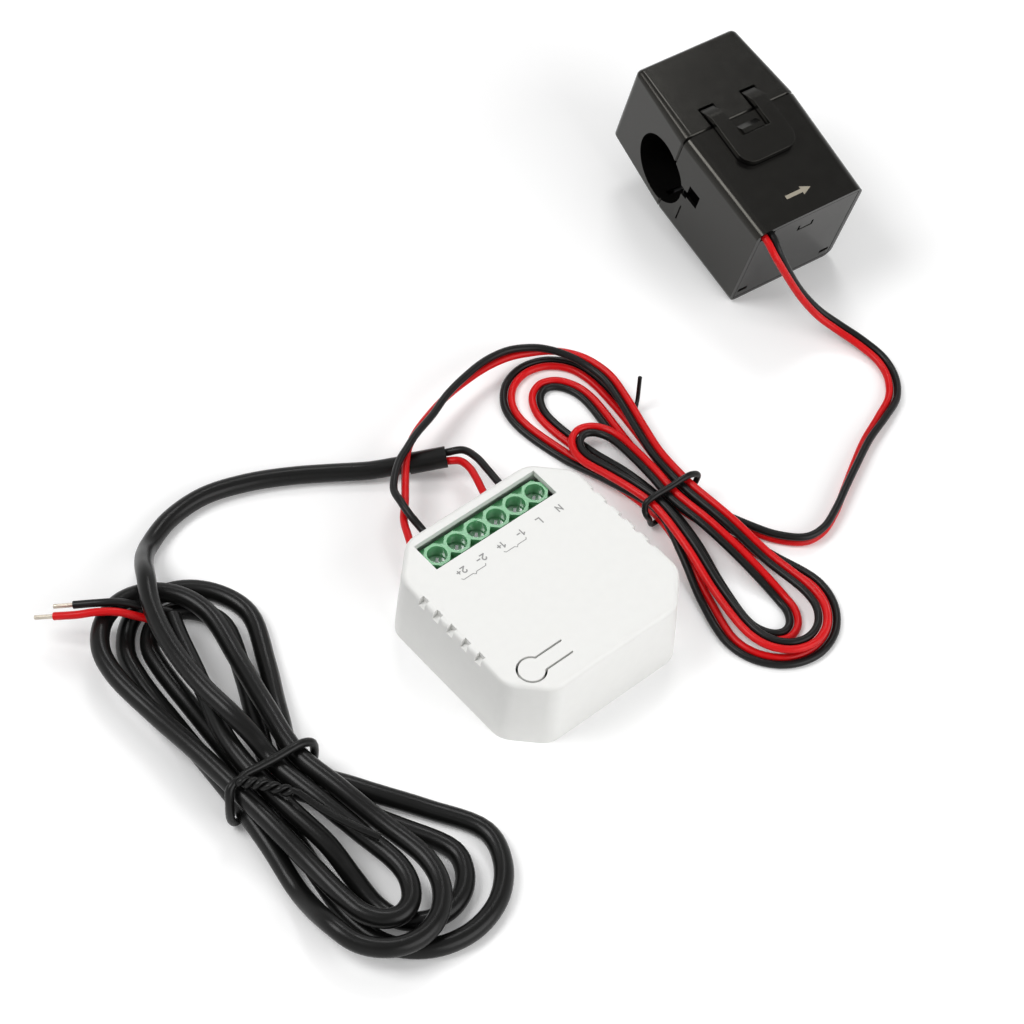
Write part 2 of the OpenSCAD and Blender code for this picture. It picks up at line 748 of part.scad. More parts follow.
// A hank: runs fan out from its waist to round end turns, in a low and a high layer.
// levels: heights at the waist and at the ends, for the low and the high layer.
// slots: [x, layer, roll] of each run at the waist.
// turns: [end, x in, x out, reach, depth of the round, layer, roll], without a roll for a single cord.
function ease(t) = let (k = min(1, max(0, t))) k * k * (3 - 2 * k);
function fan(t) = 0.6 * t + 0.4 * ease(t);
function roll_of(turn) = len(turn) > 6 ? turn[6] : 0;
function layer_z(levels, layer, y) =
  let (k = ease((abs(y) - 5.5) / 19.5),
       low = levels[0][0] + (levels[0][1] - levels[0][0]) * k,
       high = levels[1][0] + (levels[1][1] - levels[1][0]) * k)
  low + (high - low) * layer;
function run_point(levels, slot, turn, x, t) =
  let (bulge = turn[3] - turn[4], y = bulge * t,
       layer = turn[5] + (slot[1] - turn[5]) * ease((bulge - y) / 11))
  [slot[0] + (x - slot[0]) * fan(t), turn[0] * y, layer_z(levels, layer, y),
   slot[2] + (roll_of(turn) - slot[2]) * ease(1.4 * t)];
function end_point(levels, turn, a) =
  let (y = turn[3] - turn[4] + turn[4] * sin(a))
  [(turn[1] + turn[2]) / 2 + (turn[1] - turn[2]) / 2 * cos(a), turn[0] * y,
   layer_z(levels, turn[5], y), roll_of(turn)];
function turn_points(levels, slots, turns, k) = concat(
  [for (i = [0 : 2]) run_point(levels, slots[k], turns[k], turns[k][1], i / 3)],
  [for (a = [0 : 30 : 180]) end_point(levels, turns[k], a)],
  k == len(turns) - 1 ? [] :
  [for (i = [2 : -1 : 1]) run_point(levels, slots[k + 1], turns[k], turns[k][2], i / 3)]);
function hank_points(levels, slots, turns, spot) =
  [for (k = [0 : len(turns) - 1]) for (q = turn_points(levels, slots, turns, k))
   [q[0] + spot[0], q[1] + spot[1], q[2], q[3]]];
function places(p) = [for (q = p) [q[0], q[1], q[2]]];

// One core of a twin lead, set off to its side and rolled about the lead
twin_gap = 0.12;
function core_path(p, side) = let (c = places(p))
  [for (i = [0 : len(p) - 1])
   let (t = along(c, i), s = level_side(t), r = len(p[i]) > 3 ? p[i][3] : 0)
   c[i] + side * (core_d + twin_gap) / 2 * (cos(r) * s + sin(r) * cross(s, t))];

// Least gap of a tube to itself, measured on points along it
gap_steps = 4;
function fine(p) = [for (i = [0 : len(p) - 2]) for (k = [0 : gap_steps - 1])
                    p[i] + (p[i + 1] - p[i]) * k / gap_steps];
function self_gap(p, d) = let (f = fine(p), skip = 3 * gap_steps)
  min([for (i = [0 : len(f) - skip - 1]) for (j = [i + skip : len(f) - 1]) norm(f[i] - f[j])]) - d;

// Mains cable: layer heights, waist slots and end turns of its hank
cable_spot = [-62, 1.5];
cable_low = cable_d / 2;
cable_high = cable_low + cable_d + 0.5;
cable_waist_low = cable_tie_d + 0.3 + cable_d / 2;
cable_waist_high = cable_waist_low + cable_d + 0.5;
cable_levels = [[cable_waist_low, cable_low], [cable_waist_high, cable_high]];
cable_waist_x = -3.2;
cable_pitch = 4.5;
cable_in_x = cable_waist_x + 0.5 * cable_pitch;
cable_slots = [
  [cable_in_x, 1, 0], [cable_waist_x - 1.5 * cable_pitch, 1, 0], [cable_waist_x + 1.5 * cable_pitch, 1, 0],
  [cable_waist_x - 1.5 * cable_pitch, 0, 0], [cable_waist_x + 1.55 * cable_pitch, 0, 0],
  [cable_waist_x - 0.5 * cable_pitch, 0, 0], [cable_in_x, 0, 0]];
cable_turns = [
  [-1, 4, -8.2, 38, 8.6, 1], [1, -12, 10.6, 49.4, 13, 1],
  [-1, 8.8, -13.4, 43.8, 12, 1], [1, -7.4, 18.6, 48.8, 14.4, 0],
  [-1, 23, -8.4, 47, 14.6, 0], [1, -2.6, 13, 44, 9.2, 0],
  [-1, 15.6, -3, 41, 9.2, 0]];
cable_tail = [
  [-65.2, -24, 3.4], [-65.6, -17, 6.4], [-66.8, -8, 7.7], [-67.45, 1.5, cable_waist_high], [-67.3, 8, 7.9],
  [-66.4, 14, 7.8], [-64, 21.5, 7.6], [-61.4, 30, 7.2], [-59.4, 37, 6.9], [-57.8, 41.6, 6.7]];
cable_hank_path = concat(places(hank_points(cable_levels, cable_slots, cable_turns, cable_spot)), cable_tail);
echo(cable_hank_gap = self_gap(cable_hank_path, cable_d));

// Free stretch of the mains cable, from its end sleeve to the hank
cable_route = [
  [4.4, 44.9, 3.2], [-2.4, 49, 2.2], [-9, 53.6, 1.9], [-16, 58, 1.9], [-24, 62, 1.9],
  [-33, 64.6, 1.9], [-42, 64, 1.9], [-49.5, 60.6, 2.6], [-54.2, 55.4, 7], [-57.6, 49.8, 10.8],
  [-60.6, 44.2, 11.2], [-63, 37, 11.6], [-64.4, 29, 12], [-64.8, 21, 12.2], [-64.2, 13.5, 11.9],
  [-63.4, 8.5, 10.2], [-63, 5, 8.4], [cable_spot[0] + cable_in_x, cable_spot[1], cable_waist_high]];
sleeve_d = cable_d + 0.7;
sleeve_route = [[11, 40.9, 4.4], [7.7, 42.9, 3.8], [4.4, 44.9, 3.2]];

// Bare wire ends
bare_d = 0.9;
bare_l = 3.4;
wire_stop_y = 18.7;
module wire_tube(p, c) {
  color(c) tube(p, core_d, 8);
}

function into_terminal(i) = [[term_x(i), term_front_y + 2.2, wire_z], [term_x(i), wire_stop_y, wire_z]];
core_red_route = concat(
  [[10.5, 40.1, 4.2], [12, 38, 5.2], [11.6, 34.5, 6.8], [10.1, 30.5, 8.2], [8.5, 26.2, 8.7]],
  into_terminal(4));
core_black_route = concat(
  [[11.5, 41.7, 4.6], [14, 39.4, 5.8], [14.2, 35.5, 7.2], [13.3, 31, 8.4], [12.7, 26.6, 8.7]],
  into_terminal(5));
tail_red_route = [
  [-58.6, 41.3, 6.5], [-60.6, 42.6, 7], [-63, 44.6, 8], [-66.2, 47.4, 9.3], [-69.4, 49.8, 9.4],
  [-72.4, 51.8, 8.9], [-75.6, 55.2, 7.4]];
tail_black_route = [
  [-57.1, 42.4, 6.9], [-59.4, 44.9, 7.6], [-62, 46.8, 8.6], [-64.8, 49.1, 9.5], [-68, 51.5, 9.3],
  [-71.4, 54.6, 8.2]];
tip_l = 4;

// Twin lead: waist slots and end turns of its hank, in two layers
lead_spot = [40, 4];
lead_low = core_d / 2;
lead_high = lead_low + core_d + 0.95;
lead_waist_low = lead_tie_d + 0.3 + core_d;
lead_waist_high = lead_waist_low + 1.5 * core_d + 0.8;
lead_levels = [[lead_waist_low, lead_low], [lead_waist_high, lead_high]];
lead_slots = [[4, 1, 0], [-4, 1, 0], [0, 1, 0], [-1.2, 0, 90], [1.2, 0, 90], [-3.8, 0, 90]];
lead_turns = [
  [-1, 7, -9, 42, 9, 1, 0], [1, -6.4, 2.2, 25.4, 6, 1, 0], [-1, 2.8, -7.2, 37, 7, 0, 0],
  [1, -4.2, 6.6, 41.1, 8, 0, 0], [-1, 10.8, -12.4, 43.5, 12, 0, 180], [1, -9.2, 11, 47, 10.5, 0, 180]];
// The lead comes back through the waist on the low layer and leaves to the right
lead_exit = [
  [50.4, 31, 0.85, 180], [48.6, 21, 1.4, 155], [45.8, 11.5, 2.6, 110], [43.6, 4, lead_waist_low, 90],
  [45.6, -2, 2.7, 90], [48.6, -8.6, 2.2, 90], [52.2, -14.8, 1.8, 90], [56.6, -18.8, 1.75, 90]];
lead_hank = concat(hank_points(lead_levels, lead_slots, lead_turns, lead_spot), lead_exit);
lead_red = core_path(lead_hank, -1);
lead_black = core_path(lead_hank, 1);
echo(red_hank_gap = self_gap(lead_red, core_d));
echo(black_hank_gap = self_gap(lead_black, core_d));

// Free stretches of the twin lead: module to hank, and hank to clamp
lead_in_route = [
  [13.5, 49.4, 7.4, 50], [19.4, 51.6, 7, 70], [26, 53.2, 6.4, 90], [33, 54.1, 5.8, 110],
  [39, 53.6, 5.2, 110],
  [44, 51.5, 4.7, 85], [46.5, 49.7, 4.5, 60], [48.6, 47.4, 4.3, 38], [50.3, 44.6, 4.1, 18],
  [51.3, 41.8, 3.9, 4],
  [51.9, 37, 3.7, 0], [50.6, 30.5, 3.6, 0], [48.2, 23, 4, 0], [45.6, 15, 5, 0],
  [44.2, 8.5, lead_waist_high, 0],
  [lead_spot[0] + lead_slots[0][0], lead_spot[1], lead_waist_high, 0]];
function at_clamp_point(q) =
  let (y = q[1] * cos(clamp_tilt) - q[2] * sin(clamp_tilt),
       z = q[1] * sin(clamp_tilt) + q[2] * cos(clamp_tilt))
  [clamp_xy[0] + q[0] * cos(clamp_yaw) - y * sin(clamp_yaw),
   clamp_xy[1] + q[0] * sin(clamp_yaw) + y * cos(clamp_yaw), clamp_z + z];
lead_out_route = concat(
  [[56.6, -18.8, 1.75, 90], [61, -19.2, 1.75, 90], [66.6, -17.2, 1.75, 90], [72, -14.4, 1.75, 80],
   [78, -11.3, 1.7, 65], [85, -7.9, 1.6, 50], [92.2, -5.3, 1.4, 30], [98, -2.8, 1.15, 10],
   [101.9, 1.4, 0.95, 0],
   [103.5, 6.2, 1.2, 0], [102.9, 11.8, 2, 0], [100.9, 17, 3.6, 0], [98.4, 21, 6.2, 0],
   [95.6, 24.2, 10.8, 0],
   [93.2, 26.8, 16.2, 0]],
  [at_clamp_point([exit_x, -clamp_base_l - 4, exit_z - 1.2]),
   at_clamp_point([exit_x, -clamp_base_l - 1, exit_z]),
   at_clamp_point([exit_x, -clamp_base_l + cover_t, exit_z])]);
lead_red_end = concat(
  [[8.8, 48.1, 7], [5.1, 45.9, 7.2], [2, 43.1, 7.4], [-1.2, 39.4, 7.7], [-4.6, 35.3, 7.9],
  [-8.2, 31.3, 8.2],
   [-10.1, 27.7, 8.6]], into_terminal(0));
lead_black_end = concat(
  [[7.5, 46.6, 8.8], [3.6, 44.8, 9], [0.4, 43.2, 9.2], [-2.9, 40.7, 9.3], [-5.5, 37.8, 9.4],
  [-6.6, 34.5, 10.1],
   [-7.2, 30.7, 9.9], [-7.1, 26.9, 8.9]], into_terminal(1));
function turned(p) = [for (i = [len(p) - 1 : -1 : 0]) p[i]];
lead_red_in = concat(turned(lead_red_end), core_path(lead_in_route, -1));
lead_black_in = concat(turned(lead_black_end), core_path(lead_in_route, 1));

// Ties
cable_tie_x = cable_spot[0] + cable_waist_x;
cable_tie_top = cable_waist_high + cable_d / 2 + cable_tie_d / 2;
cable_tie_route = [for (q = [
  [-8.8, 2.1, 0.25], [-4, 1.8, 0.35], [2, 1.5, 0.35], [8, 1.2, 0.1], [10.6, 1, -1.8], [10.8, 0.8, -7.2],
  [9.3, 0.6, -9.65], [3, 0.4, -9.95], [-4, 0.2, -9.95], [-8.8, 0, -9.65], [-10.3, -0.2, -7.2],
  [-10.2, -0.4, -2],
  [-8.4, -0.8, 0.8], [-4.5, -3.3, 1.7], [-0.5, -7.8, 1.3], [3, -13.6, 0.5], [5.2, -20.4, -0.4],
  [6.4, -26.2, -0.8]])
  [cable_tie_x + q[0], q[1], max(cable_tie_d / 2 + 0.05, cable_tie_top + q[2])]];
lead_tie_top = lead_waist_high + core_d / 2 + lead_tie_d / 2;
lead_tie_route = [for (q = [
  [-6.5, 5.4, -0.5], [-4.8, 5.2, 0.35], [0, 5, 0.4], [5.3, 4.8, 0.35], [7.4, 4.6, -1.2], [6.2, 4.4, -4],
  [5.2, 4.2, -6.4], [3.6, 4.1, -6.9], [-3.9, 3.9, -6.9], [-5.5, 3.8, -6.4], [-6.3, 3.6, -4],
  [-7, 3.3, -1.4], [-7.4, 1.8, -0.2], [-6.6, -1.4, 0.2]])
  [lead_spot[0] + q[0], q[1], max(lead_tie_d / 2 + 0.05, lead_tie_top + q[2])]];

module mains_cable() { color("#1c1c1e") tube(cable_route, cable_d, 8); }
module mains_sleeve() { color("#161618") tube(sleeve_route, sleeve_d, 12); }
module mains_hank() { color("#1c1c1e") tube(cable_hank_path, cable_d, 6); }
module mains_tie() { color("#101012") tube(cable_tie_route, cable_tie_d, 6); }
module mains_core_red() { wire_tube(core_red_route, "#d81020"); }
module mains_core_black() { wire_tube(core_black_route, "#1c1c1e"); }
module mains_tail_red() { wire_tube(tail_red_route, "#d81020"); }
module mains_tail_black() { wire_tube(tail_black_route, "#1c1c1e"); }

module bare_tip(p) {
  n = len(p) - 1;
  tube([p[n], p[n] + tip_l * along(p, n)], bare_d, 8);
}

module mains_tail_tips() {
  color("silver") {
    bare_tip(tail_red_route);
    bare_tip(tail_black_route);
  }
}

module terminal_bare_ends() {
  color("silver")
    for (i = [0, 1, 4, 5])
      translate([term_x(i), wire_stop_y, wire_z]) rotate([90, 0, 0]) cylinder(d = bare_d, h = bare_l);
}

module lead_red_module_side() { wire_tube(lead_red_in, "#d81020"); }
module lead_black_module_side() { wire_tube(lead_black_in, "#1c1c1e"); }
module lead_red_hank() { color("#d81020") tube(lead_red, core_d, 6); }
module lead_black_hank() { color("#1c1c1e") tube(lead_black, core_d, 6); }
module lead_red_clamp_side() { wire_tube(core_path(lead_out_route, -1), "#d81020"); }
module lead_black_clamp_side() { wire_tube(core_path(lead_out_route, 1), "#1c1c1e"); }
module lead_tie() { color("#101012") tube(lead_tie_route, lead_tie_d, 6); }

module_cover();
base_plate();
main_board();
terminal_housing();
terminal_contacts();
terminal_cage(0);  // terminal_cage_1
terminal_cage(1);  // terminal_cage_2
terminal_cage(2);  // terminal_cage_3
terminal_cage(3);  // terminal_cage_4
terminal_cage(4);  // terminal_cage_5
terminal_cage(5);  // terminal_cage_6
terminal_screw(0);  // terminal_screw_1
terminal_screw(1);  // terminal_screw_2
terminal_screw(2);  // terminal_screw_3
terminal_screw(3);  // terminal_screw_4
terminal_screw(4);  // terminal_screw_5
terminal_screw(5);  // terminal_screw_6
pairing_button();
tact_switch();
tact_plunger();
radio_board();
radio_shield();
bulk_capacitors();
power_inductor();
varistor();
fusible_resistor();
bridge_rectifier();
metering_chip();
burden_resistors();
clamp_base();
clamp_end_cover();
clamp_cap();
cap_core_plate();
clamp_latch();
clamp_hinge_pin();
lower_core();
upper_core();
core_pad();
winding_bobbin();
secondary_winding();
mains_cable();
mains_sleeve();
mains_hank();
mains_tie();
mains_core_red();
mains_core_black();
mains_tail_red();
mains_tail_black();
mains_tail_tips();
terminal_bare_ends();
lead_red_module_side();
lead_black_module_side();
lead_red_hank();
lead_black_hank();
lead_red_clamp_side();
lead_black_clamp_side();
lead_tie();
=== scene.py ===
import json
import math
from collections import namedtuple

import bpy
from mathutils import Matrix, Vector


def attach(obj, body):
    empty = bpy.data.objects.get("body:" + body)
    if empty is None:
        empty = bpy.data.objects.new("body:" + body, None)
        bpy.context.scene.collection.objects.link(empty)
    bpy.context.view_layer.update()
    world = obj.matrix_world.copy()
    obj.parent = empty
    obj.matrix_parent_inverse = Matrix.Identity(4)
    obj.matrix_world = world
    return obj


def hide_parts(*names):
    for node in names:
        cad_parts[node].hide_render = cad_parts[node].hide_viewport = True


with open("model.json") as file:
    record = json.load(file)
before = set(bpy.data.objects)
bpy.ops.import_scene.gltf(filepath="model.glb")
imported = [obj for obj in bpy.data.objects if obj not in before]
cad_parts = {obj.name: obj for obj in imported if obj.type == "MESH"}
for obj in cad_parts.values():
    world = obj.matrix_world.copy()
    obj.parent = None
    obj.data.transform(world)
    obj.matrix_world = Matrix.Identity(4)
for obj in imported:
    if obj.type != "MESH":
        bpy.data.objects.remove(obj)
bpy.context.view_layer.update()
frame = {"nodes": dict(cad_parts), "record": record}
ROOT = "monitor"
MM = 0.001

# Sizes shared with the part's source, in millimetres and degrees
CASE_H = 17.3
TERM_PITCH, TERM_N = 5, 6
CLAMP_H, CLAMP_BASE_L = 26.8, 27.2
CLAMP_TILT, CLAMP_YAW = 12.3, -6.4
CLAMP_XY = (106, 61)
CABLE_D, CABLE_TIE_D = 3.8, 1.4
CORE_D, LEAD_TIE_D = 1.6, 1.1
TWIN_GAP = 0.12


def add_object(name, data):
    obj = bpy.data.objects.new(name, data)
    bpy.context.scene.collection.objects.link(obj)
    return obj


# Camera at the photograph's place and angle
CAMERA_PLACE = (-0.237488, -0.225672, 0.457308)
CAMERA_RIGHT = (0.757356, -0.649996, 0.062580)
CAMERA_DOWN = (-0.486402, -0.625477, -0.610075)


def add_camera():
    data = bpy.data.cameras.new("camera")
    data.lens = 100.0
    data.sensor_width = 36.0
    data.sensor_fit = "HORIZONTAL"
    data.clip_start = 0.02
    data.clip_end = 20.0
    camera = add_object("camera", data)
    right = Vector(CAMERA_RIGHT).normalized()
    ahead = right.cross(Vector(CAMERA_DOWN).normalized()).normalized()
    down = ahead.cross(right).normalized()
    turn = Matrix((right, -down, -ahead)).transposed().to_4x4()
    camera.matrix_world = Matrix.Translation(Vector(CAMERA_PLACE)) @ turn
    bpy.context.scene.camera = camera


add_camera()


# Shader nodes, with the numbers that stay the same set on their sockets
def set_inputs(node, values):
    for key, value in values.items():
        node.inputs[key].default_value = value


def add_node(tree, kind, values=None, operation=None):
    node = tree.nodes.new(kind)
    if operation:
        node.operation = operation
    set_inputs(node, values or {})
    return node


# Materials, each a soft mottle of its colour and gloss with an optional fine grain
ROUGH_SPREAD = 0.06
GRAIN_FINER = 12.0
GRAIN_DEPTH = 0.0001
MATERIALS = {}


def material(name, color, rough, metal=0.0, grain=0.0, grain_size=400.0, mottle=0.06, spec=0.5,
             sheen=(1.0, 1.0, 1.0)):
    m = bpy.data.materials.new(name)
    m.use_nodes = True
    tree = m.node_tree
    link = tree.links.new
    shader = tree.nodes["Principled BSDF"]
    set_inputs(shader, {"Metallic": metal, "Specular IOR Level": spec, "Specular Tint": (*sheen, 1.0)})
    place = add_node(tree, "ShaderNodeTexCoord")
    noise = add_node(tree, "ShaderNodeTexNoise", {"Scale": grain_size, "Detail": 4.0})
    link(place.outputs["Object"], noise.inputs["Vector"])
    tone = add_node(tree, "ShaderNodeValToRGB")
    for stop, spot, factor in zip(tone.color_ramp.elements, (0.3, 0.7), (1.0 - mottle, 1.0 + mottle)):
        stop.position = spot
        stop.color = [min(1.0, c * factor) for c in color] + [1.0]
    link(noise.outputs["Fac"], tone.inputs["Fac"])
    link(tone.outputs["Color"], shader.inputs["Base Color"])
    gloss = add_node(tree, "ShaderNodeMapRange", {"To Min": max(0.02, rough - ROUGH_SPREAD),
                                                  "To Max": min(1.0, rough + ROUGH_SPREAD)})
    link(noise.outputs["Fac"], gloss.inputs["Value"])
    link(gloss.outputs["Result"], shader.inputs["Roughness"])
    if grain > 0.0:
        fine = add_node(tree, "ShaderNodeTexNoise", {"Scale": grain_size * GRAIN_FINER, "Detail": 3.0})
        link(place.outputs["Object"], fine.inputs["Vector"])
        bump = add_node(tree, "ShaderNodeBump", {"Strength": grain, "Distance": GRAIN_DEPTH})
        link(fine.outputs["Fac"], bump.inputs["Height"])
        link(bump.outputs["Normal"], shader.inputs["Normal"])
    MATERIALS[name] = m


WHITE_PLASTIC = {"color": (0.80, 0.80, 0.78), "rough": 0.42, "grain": 0.08, "mottle": 0.01, "spec": 0.35}
material("case_white", **WHITE_PLASTIC)
material("button_white", **WHITE_PLASTIC)
material("board_green", (0.02, 0.10, 0.05), 0.4)
material("terminal_green", (0.105, 0.360, 0.158), 0.22, grain=0.05, mottle=0.05, spec=0.4)
material("plated_steel", (0.90, 0.90, 0.91), 0.24, metal=1.0, grain=0.08, grain_size=900)
material("contact_brass", (0.70, 0.50, 0.22), 0.35, metal=1.0)
material("part_black", (0.02, 0.02, 0.022), 0.5)
material("can_steel", (0.6, 0.6, 0.61), 0.32, metal=1.0)
material("sleeve_blue", (0.02, 0.03, 0.12), 0.35)
material("winding_copper", (0.42, 0.16, 0.06), 0.35, metal=0.6)
material("disc_blue", (0.03, 0.08, 0.3), 0.35)
material("resistor_tan", (0.55, 0.42, 0.26), 0.5)
material("clamp_black", (0.0042, 0.0040, 0.0039), 0.2, grain=0.02, spec=0.34, sheen=(1.0, 0.97, 0.87))
material("core_grey", (0.3, 0.3, 0.31), 0.4, metal=1.0)
material("pad_grey", (0.03, 0.035, 0.035), 0.9, grain=0.5)
material("bobbin_ivory", (0.68, 0.62, 0.5), 0.5)
material("sheath_black", (0.0052, 0.0052, 0.0050), 0.3, grain=0.04, spec=0.22)
material("core_red", (0.60, 0.003, 0.005), 0.34, grain=0.03, spec=0.24)
material("core_black", (0.0062, 0.006, 0.006), 0.34, grain=0.03, spec=0.22)
material("bare_tin", (0.52, 0.47, 0.40), 0.4, metal=1.0, grain=0.6, grain_size=600, mottle=0.25)
material("mark_grey", (0.30, 0.30, 0.295), 0.6, mottle=0.02)
# Near-black without gloss: painted shade for the sheets on the clamp's recess floors
material("painted_shade_black", (0.0012, 0.0012, 0.0012), 0.8, spec=0.0)
material("mark_light", (0.30, 0.27, 0.21), 0.6, mottle=0.05)
SLOTS = {s["node"]: s["material_slot"] for s in frame["record"]["subparts"]}
for name, obj in frame["nodes"].items():
    obj.data.materials.clear()
    obj.data.materials.append(MATERIALS[SLOTS[name]])


# A hank: runs fan out from its waist to round end turns, in a low and a high layer.
# A slot is a run's place at the waist, and a turn is one round end on one side of it.
Slot = namedtuple("Slot", "x layer roll")
Turn = namedtuple("Turn", "side start end reach bow layer roll", defaults=(0.0,))
RUN_STEPS, ARC_STEPS = 3, 6
WAIST_HALF, WAIST_RAMP = 5.5, 19.5
LAYER_RAMP = 11.0
ROLL_PACE = 1.4


def ease(t):
    k = min(1.0, max(0.0, t))
    return k * k * (3.0 - 2.0 * k)


def fan(t):
    return 0.6 * t + 0.4 * ease(t)


def layer_z(levels, layer, y):
    k = ease((abs(y) - WAIST_HALF) / WAIST_RAMP)
    low, high = (waist + (end - waist) * k for waist, end in levels)
    return low + (high - low) * layer


def run_point(levels, slot, turn, x, t):
    run = turn.reach - turn.bow
    y = run * t
    layer = turn.layer + (slot.layer - turn.layer) * ease((run - y) / LAYER_RAMP)
    return [slot.x + (x - slot.x) * fan(t), turn.side * y, layer_z(levels, layer, y),
            slot.roll + (turn.roll - slot.roll) * ease(ROLL_PACE * t)]


def end_point(levels, turn, a):
    y = turn.reach - turn.bow + turn.bow * math.sin(a)
    x = (turn.start + turn.end) / 2 + (turn.start - turn.end) / 2 * math.cos(a)
    return [x, turn.side * y, layer_z(levels, turn.layer, y), turn.roll]


def hank_points(levels, slots, turns, spot):
    out = []
    for k, turn in enumerate(turns):
        out += [run_point(levels, slots[k], turn, turn.start, i / RUN_STEPS) for i in range(RUN_STEPS)]
        out += [end_point(levels, turn, math.pi * i / ARC_STEPS) for i in range(ARC_STEPS + 1)]
        if k < len(turns) - 1:
            out += [run_point(levels, slots[k + 1], turn, turn.end, i / RUN_STEPS)
                    for i in range(RUN_STEPS - 1, 0, -1)]
    return [[q[0] + spot[0], q[1] + spot[1], q[2], q[3]] for q in out]


# A smooth line through points, whose further values, such as a thickness, follow along
def smooth(points, steps=6):
    p = [Vector(q) for q in points]
    out = []
    for i in range(len(p) - 1):
        a = p[i - 1] if i else p[0] * 2 - p[1]
        d = p[i + 2] if i + 2 < len(p) else p[-1] * 2 - p[-2]
        b, c = p[i], p[i + 1]
        ta, tb, tc = (max((w - v).length, 1e-6) ** 0.5 for v, w in ((a, b), (b, c), (c, d)))
        m1 = ((b - a) / ta - (c - a) / (ta + tb) + (c - b) / tb) * tb
        m2 = ((c - b) / tb - (d - b) / (tb + tc) + (d - c) / tc) * tb
        for k in range(steps):
            t = k / steps
            out.append(b * (2 * t**3 - 3 * t**2 + 1) + m1 * (t**3 - 2 * t**2 + t)
                       + c * (3 * t**2 - 2 * t**3) + m2 * (t**3 - t**2))
    out.append(p[-1].copy())
    return out


# The two directions across a line that runs along t: to its side, and up from that
def across(t):
    side = t.cross(Vector((0, 0, 1))).normalized()
    return side, side.cross(t)


# One core of a twin lead, set off to its side and rolled about the lead
def core_path(points, side):
    c = [Vector(q[:3]) for q in points]
    out = []
    for i, q in enumerate(points):
        t = (c[min(i + 1, len(c) - 1)] - c[max(i - 1, 0)]).normalized()
        s, up = across(t)
        roll = math.radians(q[3]) if len(q) > 3 else 0.0
        out.append(c[i] + (s * math.cos(roll) + up * math.sin(roll)) * side * (CORE_D + TWIN_GAP) / 2)
    return out


# A round cord along points, whose fourth value, where there is one, scales its thickness
def cord_curve(name, points, diameter, slot_name):
    curve = bpy.data.curves.new(name, "CURVE")
    curve.dimensions = "3D"
    spline = curve.splines.new("POLY")
    spline.points.add(len(points) - 1)
    for k, q in enumerate(points):
        spline.points[k].co = (q[0] * MM, q[1] * MM, q[2] * MM, 1.0)
        spline.points[k].radius = q[3] if len(q) > 3 else 1.0
    curve.bevel_depth = diameter * MM / 2
    curve.bevel_resolution = 6
    curve.use_fill_caps = True
    spline.use_smooth = True
    curve.materials.append(MATERIALS[slot_name])
    obj = add_object(name, curve)
    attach(obj, ROOT)
    return obj


# A smoothed tie can dip between its points, so its line is kept above the floor
FLOOR_GAP = 0.02


def on_floor(line, diameter):
    return [[q[0], q[1], max(diameter / 2 + FLOOR_GAP, q[2]), q[3]] for q in line]


# A core's last points, straight into a terminal
ENTRY_Y, WIRE_END_Y, WIRE_Z = 22.1, 18.7, 8.75


def into_terminal(i):
    x = (i - (TERM_N - 1) / 2) * TERM_PITCH
    return [[x, ENTRY_Y, WIRE_Z], [x, WIRE_END_Y, WIRE_Z]]


# Mains cable: one sheathed cord from its end sleeve, through the hank, to its other end
cable_low, cable_high = 1.9, 6.2
cable_waist_low, cable_waist_high = 3.6, 7.9
cable_levels = [[cable_waist_low, cable_low], [cable_waist_high, cable_high]]
cable_spot = [-62, 1.5]
cable_waist_x, cable_pitch = -3.2, 4.5
cable_slots = [Slot(cable_waist_x + k * cable_pitch, layer, 0)
               for k, layer in [(0.5, 1), (-1.5, 1), (1.5, 1), (-1.5, 0), (1.55, 0), (-0.5, 0), (0.5, 0)]]
cable_turns = [Turn(-1, 4, -8.2, 38, 8.6, 1), Turn(1, -12, 10.6, 49.4, 13, 1),
               Turn(-1, 8.8, -13.4, 43.8, 12, 1), Turn(1, -7.4, 18.6, 48.8, 14.4, 0),
               Turn(-1, 23, -8.4, 47, 14.6, 0), Turn(1, -2.6, 13, 44, 9.2, 0),
               Turn(-1, 15.6, -3, 41, 9.2, 0)]
cable_tail = [[-65.2, -24, 3.4], [-65.6, -17, 6.4], [-66.8, -8, 7.7], [-67.45, 1.5, cable_waist_high],
              [-67.3, 8, 7.9], [-66.4, 14, 7.8], [-64, 21.5, 7.6], [-61.4, 30, 7.2], [-59.4, 37, 6.9],
              [-57.8, 41.6, 6.7]]
cable_route = [[4.4, 44.9, 3.2], [-2.4, 49, 2.2], [-9, 53.6, 1.9], [-16, 58, 1.9], [-24, 62, 1.9],
               [-33, 64.6, 1.9], [-42, 64, 1.9], [-49.5, 60.6, 2.6], [-54.2, 55.4, 7],
               [-57.6, 49.8, 10.8], [-60.6, 44.2, 11.2], [-63, 37, 11.6], [-64.4, 29, 12],
               [-64.8, 21, 12.2], [-64.2, 13.5, 11.9], [-63.4, 8.5, 10.2], [-63, 5, 8.4]]
cable_hank = [q[:3] for q in hank_points(cable_levels, cable_slots, cable_turns, cable_spot)]
cable_line = smooth(cable_route + cable_hank + cable_tail)
cable = cord_curve("mains_cord", cable_line, CABLE_D, "sheath_black")
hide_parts("mains_cable", "mains_hank")

